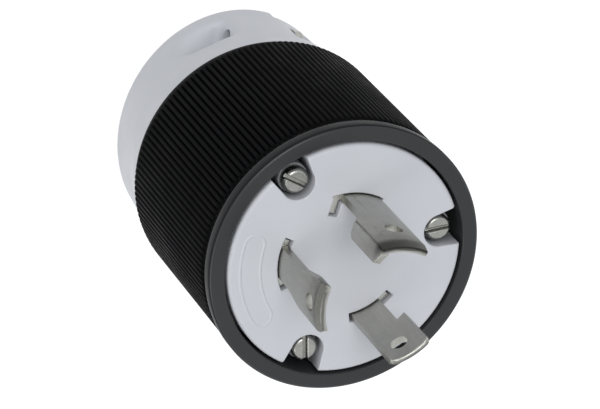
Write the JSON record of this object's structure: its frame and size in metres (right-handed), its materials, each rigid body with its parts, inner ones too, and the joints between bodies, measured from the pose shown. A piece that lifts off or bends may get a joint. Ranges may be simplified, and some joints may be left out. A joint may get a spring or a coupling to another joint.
{
  "type": "locking power plug",
  "caption": "Locking power plug: curved, stepped blades in a pale round face, a black ribbed grip sleeve and an oval rear cap with a cord clamp.",
  "frame": {"origin": "centre of the flat rear end that the plug stands on, on the plug's axis", "axes": "+Z along the plug's axis from the cord end to the blades; +X is the side that the picture is taken from, +Y is 90 degrees anticlockwise of it seen from the blades"},
  "size_m": [0.057, 0.057, 0.0942],
  "materials": {
    "white_nylon": "satin moulded nylon",
    "black_nylon": "satin moulded nylon, finely ribbed",
    "blade_metal": "nickel-plated, smooth",
    "screw_steel": "zinc-plated",
    "insert_brass": "plain"
  },
  "bodies": {
    "root": {"face_plate": "white_nylon", "terminal_block": "white_nylon", "rear_cap": "white_nylon", "cord_clamp": "white_nylon", "grip_sleeve": "black_nylon", "blade_narrow": "blade_metal", "blade_wide": "blade_metal", "blade_ground": "blade_metal", "assembly_screw_left": "screw_steel", "assembly_screw_right": "screw_steel", "assembly_screw_top": "screw_steel", "clamp_screw_a": "screw_steel", "clamp_screw_b": "screw_steel", "terminal_screw_narrow": "screw_steel", "terminal_screw_wide": "screw_steel", "terminal_screw_ground": "screw_steel", "clamp_plate_narrow": "screw_steel", "clamp_plate_wide": "screw_steel", "clamp_plate_ground": "screw_steel", "threaded_insert_left": "insert_brass", "threaded_insert_right": "insert_brass", "threaded_insert_top": "insert_brass"}
  },
  "joints": []
}
